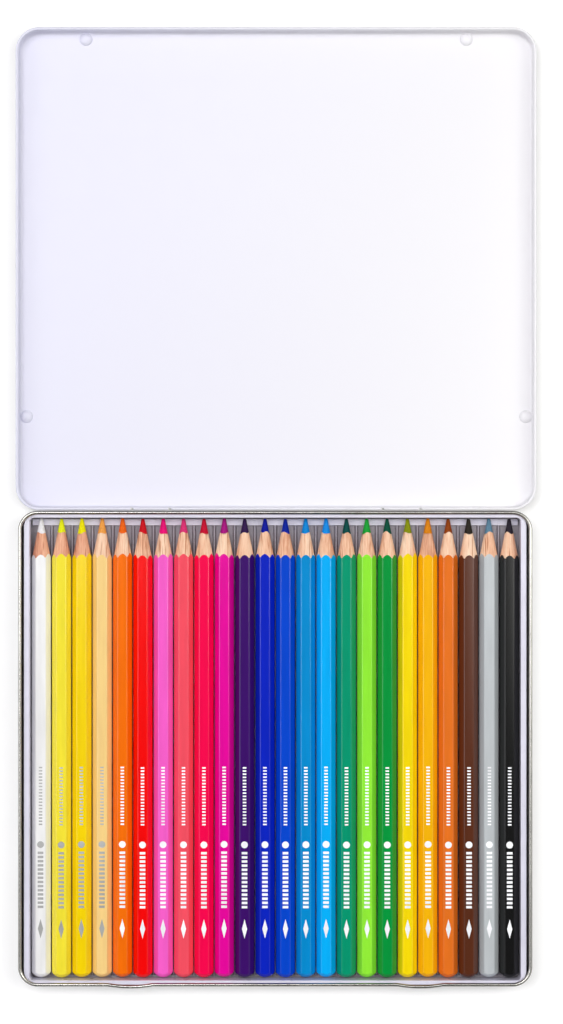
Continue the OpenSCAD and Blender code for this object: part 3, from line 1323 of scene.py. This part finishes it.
@dataclass
class PencilMaker:
    """Makes the pencils: a hexagonal casing, a coloured core and a plain foil print."""

    length: float = 175 * MM
    flats: float = 6.55 * MM
    rounding: float = 0.34 * MM
    core_r: float = 1.5 * MM
    glue: float = 0.02 * MM
    end_cover: float = 1 * MM
    tip_r: float = 0.55 * MM
    slope: float = 0.20005
    shoulder_slope: float = 0.33
    dome_r: float = 4.225 * MM
    dome_edge: float = 4.1 * MM
    dome_steps: int = 12
    wide_r: float = 4.7 * MM
    wide_step: float = 0.5 * MM
    bore_step: float = 1.2 * MM
    bore_side: float = 0.3 * MM
    bore_from: float = 0.9 * MM
    wood_stations: tuple[float, ...] = (6 * MM, 3 * MM, 1 * MM)
    wax_stations: tuple[float, ...] = (3.4 * MM, 2.2 * MM, 1.2 * MM, 0.5 * MM)
    point: tuple[tuple[float, float], ...] = ((0.12 * MM, 0.97), (0.03 * MM, 0.85), (0.0, 0.6))
    shoulder: float = 25 * MM
    around: int = 72
    pitch: float = PITCH
    first_x: float = -89.278 * MM
    rear_y: float = -87.725 * MM
    axis_z: float = 4.075 * MM
    dice: random.Random = field(default_factory=lambda: random.Random(24))

    def from_tip(self, distance: float) -> float:
        """Give the cone's radius at a distance from the point."""
        return self.tip_r + self.slope * distance

    def wood_end(self) -> float:
        """Give the distance from the point at which the wood ends."""
        return (self.core_r - self.tip_r) / self.slope

    def blank(self) -> Workpiece:
        """Plane one hexagonal blank with rounded edges, along Y from the origin."""
        blank = Workpiece.shaped(
            "blank",
            bpy.ops.mesh.primitive_cylinder_add,
            vertices=6,
            radius=self.flats / 2 / math.cos(math.pi / 6),
            depth=self.length + 2 * MM,
            location=(0, self.length / 2, 0),
            rotation=(math.pi / 2, math.pi / 6, 0),
        )
        with blank.editing():
            blank.pick(Pick.EDGES, lambda at: abs(at.y - self.length / 2) < MM)
            bpy.ops.mesh.bevel(
                offset=self.rounding, segments=4, affect="EDGES", clamp_overlap=False
            )
            blank.face_out()
        return blank

    def lathe(self, name: str, profile: Sequence[tuple[float, float]]) -> Workpiece:
        """Spin a profile round the Y axis.

        Args:
            name: Name of the turned piece.
            profile: Points as distance along the pencil and radius, on the axis at both ends.

        Returns:
            The closed turned piece.
        """
        piece = Workpiece.line(name, [(0, y, r) for y, r in profile])
        with piece.editing():
            bpy.ops.mesh.select_all(action="SELECT")
            piece.turn((0, 0, 0), 360, self.around, (0, 1, 0))
            piece.weld(WELD / 2)
            piece.face_out()
        return piece

    def casing_lathe(self, wood: Material) -> Workpiece:
        """Turn the form that a casing is cut with: domed end, cone and bore.

        Args:
            wood: Finish of the cone and the bore.

        Returns:
            The form, with its first slot left for the lacquer.
        """
        dome = []
        for k in range(self.dome_steps + 1):
            radius = self.dome_edge * k / self.dome_steps
            dome.append((self.dome_r - math.sqrt(self.dome_r**2 - radius**2), radius))
        end = self.length - self.wood_end()
        bore = self.core_r + self.glue
        facet = self.flats / 2
        facet_end = self.length - (facet - self.tip_r) / self.slope
        cone_top = facet_end - (self.wide_r - facet) / self.shoulder_slope
        profile = [
            *dome,
            (dome[-1][0] + self.wide_step, self.wide_r),
            (cone_top, self.wide_r),
            (facet_end, facet),
            *[(end - d, self.from_tip(self.wood_end() + d)) for d in self.wood_stations],
            (end, self.core_r),
            (end - self.bore_step, bore),
            (self.end_cover, bore),
            (self.end_cover, 0),
        ]
        piece = self.lathe("casing_lathe", profile)
        piece.dress(wood, wood)
        for face in piece.obj.data.polygons:
            in_bore = math.hypot(face.center.x, face.center.z) < bore + self.bore_side
            on_cone = face.center.y > 0.5 * self.length
            face.material_index = int(on_cone or in_bore and face.center.y > self.bore_from)
        return piece

    def core_lathe(self) -> Workpiece:
        """Turn the core with its rounded point."""
        end = self.length - self.wood_end()
        profile = [
            (self.end_cover + self.glue, 0),
            (self.end_cover + self.glue, self.core_r),
            (end - self.bore_step, self.core_r),
            (end, self.core_r),
            *[(self.length - d, self.from_tip(d)) for d in self.wax_stations],
            *[(self.length - d, share * self.tip_r) for d, share in self.point],
            (self.length, 0),
        ]
        return self.lathe("core_lathe", profile)

    def sharpen(self, piece: Workpiece, cut: SharpenerCut) -> None:
        """Lean the cone about its point and make the wood's end uneven.

        Args:
            piece: A copy of a turned form, still along Y from the origin.
            cut: This pencil's cut.
        """
        end = self.length - self.wood_end()
        shoulder = self.length - self.shoulder
        tip = Vector((0, self.length, 0))
        lean = Matrix.Rotation(cut.lean_x, 4, "X") @ Matrix.Rotation(cut.lean_z, 4, "Z")
        for vert in piece.obj.data.vertices:
            away = math.hypot(vert.co.x, vert.co.z)
            if abs(vert.co.y - end) < CLOSE and abs(away - self.core_r) < CLOSE:
                slip = cut.slip(math.atan2(vert.co.z, vert.co.x))
                factor = self.from_tip(self.wood_end() + slip) / self.core_r
                vert.co = Vector((vert.co.x * factor, end - slip, vert.co.z * factor))
            if vert.co.y > shoulder:
                vert.co = tip + lean @ (vert.co - tip)
        piece.obj.data.update()

    def foil(self) -> Workpiece:
        """Cut the plain foil marks that lie on the upper facet."""
        marks = [
            kind.cut(kind.start + k * kind.step, self.flats / 2 - FOIL_DEEP)
            for kind in FOIL_MARKS
            for k in range(kind.count)
        ]
        marks[0].join(marks[1:])
        marks[0].obj.name = "foil"
        return marks[0]

    def build_row(self, bright: Material, dull: Material) -> None:
        """Make all the pencils and lay them in their row.

        Args:
            bright: Foil of the print on most pencils.
            dull: Foil of the print on the pale ones.
        """
        woods = {kind: kind.finish().make() for kind in Wood}
        blank, core_form = self.blank(), self.core_lathe()
        casing_form = self.casing_lathe(woods[Wood.PALE])
        print_master = self.foil()
        print_master.dress(bright)
        for k, colour in enumerate(PENCILS):
            cut = SharpenerCut.draw(self.dice)
            roll = math.radians(self.dice.uniform(-MOST_ROLL, MOST_ROLL))
            slide = self.dice.uniform(*SLIDE) * MM
            place = (self.first_x + k * self.pitch, self.rear_y + slide, self.axis_z)
            stem = f"pencil_{colour.name}"
            casing = blank.copy(f"{stem}_wood_and_lacquer")
            lacquer = PencilLacquer(f"{colour.name}_lacquer", colour.lacquer).make()
            casing.dress(lacquer, woods[colour.wood])
            form = casing_form.copy("form")
            form.dress(lacquer, woods[colour.wood])
            self.sharpen(form, cut)
            casing.modify("BOOLEAN", operation="INTERSECT", object=form.obj, solver="EXACT")
            form.remove()
            core = core_form.copy(f"{stem}_wax_core")
            self.sharpen(core, cut)
            core.dress(WaxCore(f"{colour.name}_wax", colour.core).make())
            mark = print_master.copy(f"{stem}_foil_marks")
            mark.dress(dull if colour.dull else bright)
            for piece, angle in ((casing, 35), (core, 35), (mark, 20)):
                piece.settle(place, roll)
                piece.smooth(angle)
            casing.hand_over(stem, f"lacquer_{colour.name}", f"{stem}_casing")
            core.hand_over(stem, f"core_{colour.name}", f"{stem}_core")
            mark.hand_over(stem, "tinplate")
        for helper in (blank, casing_form, core_form, print_master):
            helper.remove()


# The studio


@dataclass(frozen=True)
class Softbox:
    """A rectangular lamp: where it hangs, its size, its power in watts and its tint."""

    name: str
    spot: Point
    size: tuple[float, float]
    power: float
    tint: Colour

    def hang(self, aim: Point) -> None:
        """Add the lamp.

        Args:
            aim: What it points at.
        """
        data = bpy.data.lights.new(self.name, "AREA")
        data.shape = "RECTANGLE"
        data.size, data.size_y = self.size
        data.energy = self.power
        data.color = self.tint
        lamp = bpy.data.objects.new(self.name, data)
        lamp.location = self.spot
        lamp.rotation_euler = (Vector(aim) - Vector(self.spot)).to_track_quat("-Z", "Y").to_euler()
        bpy.context.scene.collection.objects.link(lamp)


SOFTBOXES = (
    Softbox("key", (-0.45, 0.55, 2.1), (0.9, 0.9), 18.0, (0.99, 0.985, 1.0)),
    Softbox("left_box", (-1.4, 0.1, 1.4), (0.7, 1.3), 6.0, (0.94, 0.93, 1.0)),
    Softbox("right_box", (0.55, 0.2, 1.0), (0.4, 0.9), 4.6, (1.0, 0.995, 0.96)),
)


@dataclass
class Studio:
    """Pale floor, soft light and the camera straight above."""

    camera: Point = (2.40 * MM, 89.8 * MM, 1201.5 * MM)
    lens: float = 110.3
    aim: Point = (0.0, 0.09, 0.0)
    floor_size: float = 12.0
    floor_white: float = 0.80
    floor_glow: float = 0.335
    sky_tint: Colour = (0.98, 0.98, 1.0)
    sky: float = 0.62
    dim_sky: float = 0.05
    side: tuple[float, float] = (0.15, 0.60)
    horizon: float = 0.5
    rise: tuple[float, float] = (0.10, 0.60)

    def shoot_from_above(self) -> None:
        """Add the camera."""
        data = bpy.data.cameras.new("camera")
        data.sensor_fit = "VERTICAL"
        data.sensor_height = 36
        data.lens = self.lens
        data.clip_start = 0.01
        data.clip_end = 50
        camera = bpy.data.objects.new("camera", data)
        camera.location = self.camera
        bpy.context.scene.collection.objects.link(camera)
        bpy.context.scene.camera = camera
        bpy.context.scene.view_settings.view_transform = "Standard"

    def lay_floor(self) -> None:
        """Add the pale floor. It keeps the tin's shadow and glows for the camera and in metal."""
        Workpiece.clear_bench()
        bpy.ops.mesh.primitive_plane_add(size=self.floor_size)
        floor = Workpiece("studio_floor")
        with floor.editing():
            bpy.ops.mesh.select_all(action="SELECT")
            bpy.ops.mesh.subdivide(number_cuts=3)
        material = bpy.data.materials.new("studio_floor")
        paint = Wiring(material)
        paint.tree.nodes.clear()
        matt = paint.node("ShaderNodeBsdfDiffuse")
        matt.inputs["Color"].default_value = (self.floor_white,) * 3 + (1,)
        rays = paint.node("ShaderNodeLightPath").outputs
        seen = rays["Is Camera Ray"]
        for name in ("Is Glossy Ray", "Is Transmission Ray"):
            seen = paint.reckon("MAXIMUM", seen, rays[name])
        glow = paint.node("ShaderNodeEmission")
        paint.link(paint.reckon("MULTIPLY", seen, self.floor_glow), glow.inputs["Strength"])
        both = paint.node("ShaderNodeAddShader")
        paint.link(matt.outputs[0], both.inputs[0])
        paint.link(glow.outputs[0], both.inputs[1])
        paint.link(both.outputs[0], paint.node("ShaderNodeOutputMaterial").inputs["Surface"])
        floor.dress(material)

    def light_sky(self) -> None:
        """Light the room from its sides, dim at the top and low down, behind a white backdrop."""
        world = bpy.data.worlds.new("studio")
        bpy.context.scene.world = world
        air = Wiring(world)
        air.tree.nodes.clear()
        way = air.node("ShaderNodeSeparateXYZ")
        air.link(air.node("ShaderNodeTexCoord").outputs["Generated"], way.inputs[0])
        across = air.reckon("ABSOLUTE", way.outputs["X"])
        sideways = air.span(across, self.side, (self.dim_sky, self.sky), "SMOOTHSTEP")
        upwards = air.span(way.outputs["Z"], self.rise, (self.horizon, 1.0), "SMOOTHSTEP")
        sky = air.node("ShaderNodeBackground")
        sky.inputs["Color"].default_value = (*self.sky_tint, 1)
        air.link(air.reckon("MULTIPLY", sideways, upwards), sky.inputs["Strength"])
        white = air.node("ShaderNodeBackground")
        white.inputs["Color"].default_value = (1, 1, 1, 1)
        mix = air.node("ShaderNodeMixShader")
        air.link(air.node("ShaderNodeLightPath").outputs["Is Camera Ray"], mix.inputs["Fac"])
        air.link(sky.outputs[0], mix.inputs[1])
        air.link(white.outputs[0], mix.inputs[2])
        air.link(mix.outputs[0], air.node("ShaderNodeOutputWorld").inputs["Surface"])

    def build(self) -> None:
        """Set up the whole studio."""
        self.shoot_from_above()
        self.lay_floor()
        self.light_sky()
        for box in SOFTBOXES:
            box.hang(self.aim)


def main() -> None:
    """Build the tin, its tray and its pencils, and set up the studio."""
    tinplate = Metal("bare_tinplate", (0.74, 0.735, 0.71), 0.24).make()
    lacquer = StoveLacquer().make()
    plastic = FormedPlastic().make()
    wire = Metal("hinge_wire", (0.72, 0.72, 0.72), 0.3, (0.06, 1, 1)).make()
    bright = Metal("silver_foil", (0.96, 0.96, 0.97), 0.5).make()
    dull = Metal("dull_silver_foil", (0.70, 0.70, 0.69), 0.4).make()
    BaseTin().build(tinplate, tinplate)
    LidTin().build(lacquer, tinplate)
    PencilTray().build(plastic)
    PencilMaker().build_row(bright, dull)
    for name in ("hinge_pin_left", "hinge_pin_right"):
        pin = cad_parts[name]
        for slot in pin.material_slots:
            slot.material = wire
        LOG.info("%s: kept, in wire", name)
    Studio().build()
    Workpiece.clear_bench()


if __name__ == "__main__":
    main()
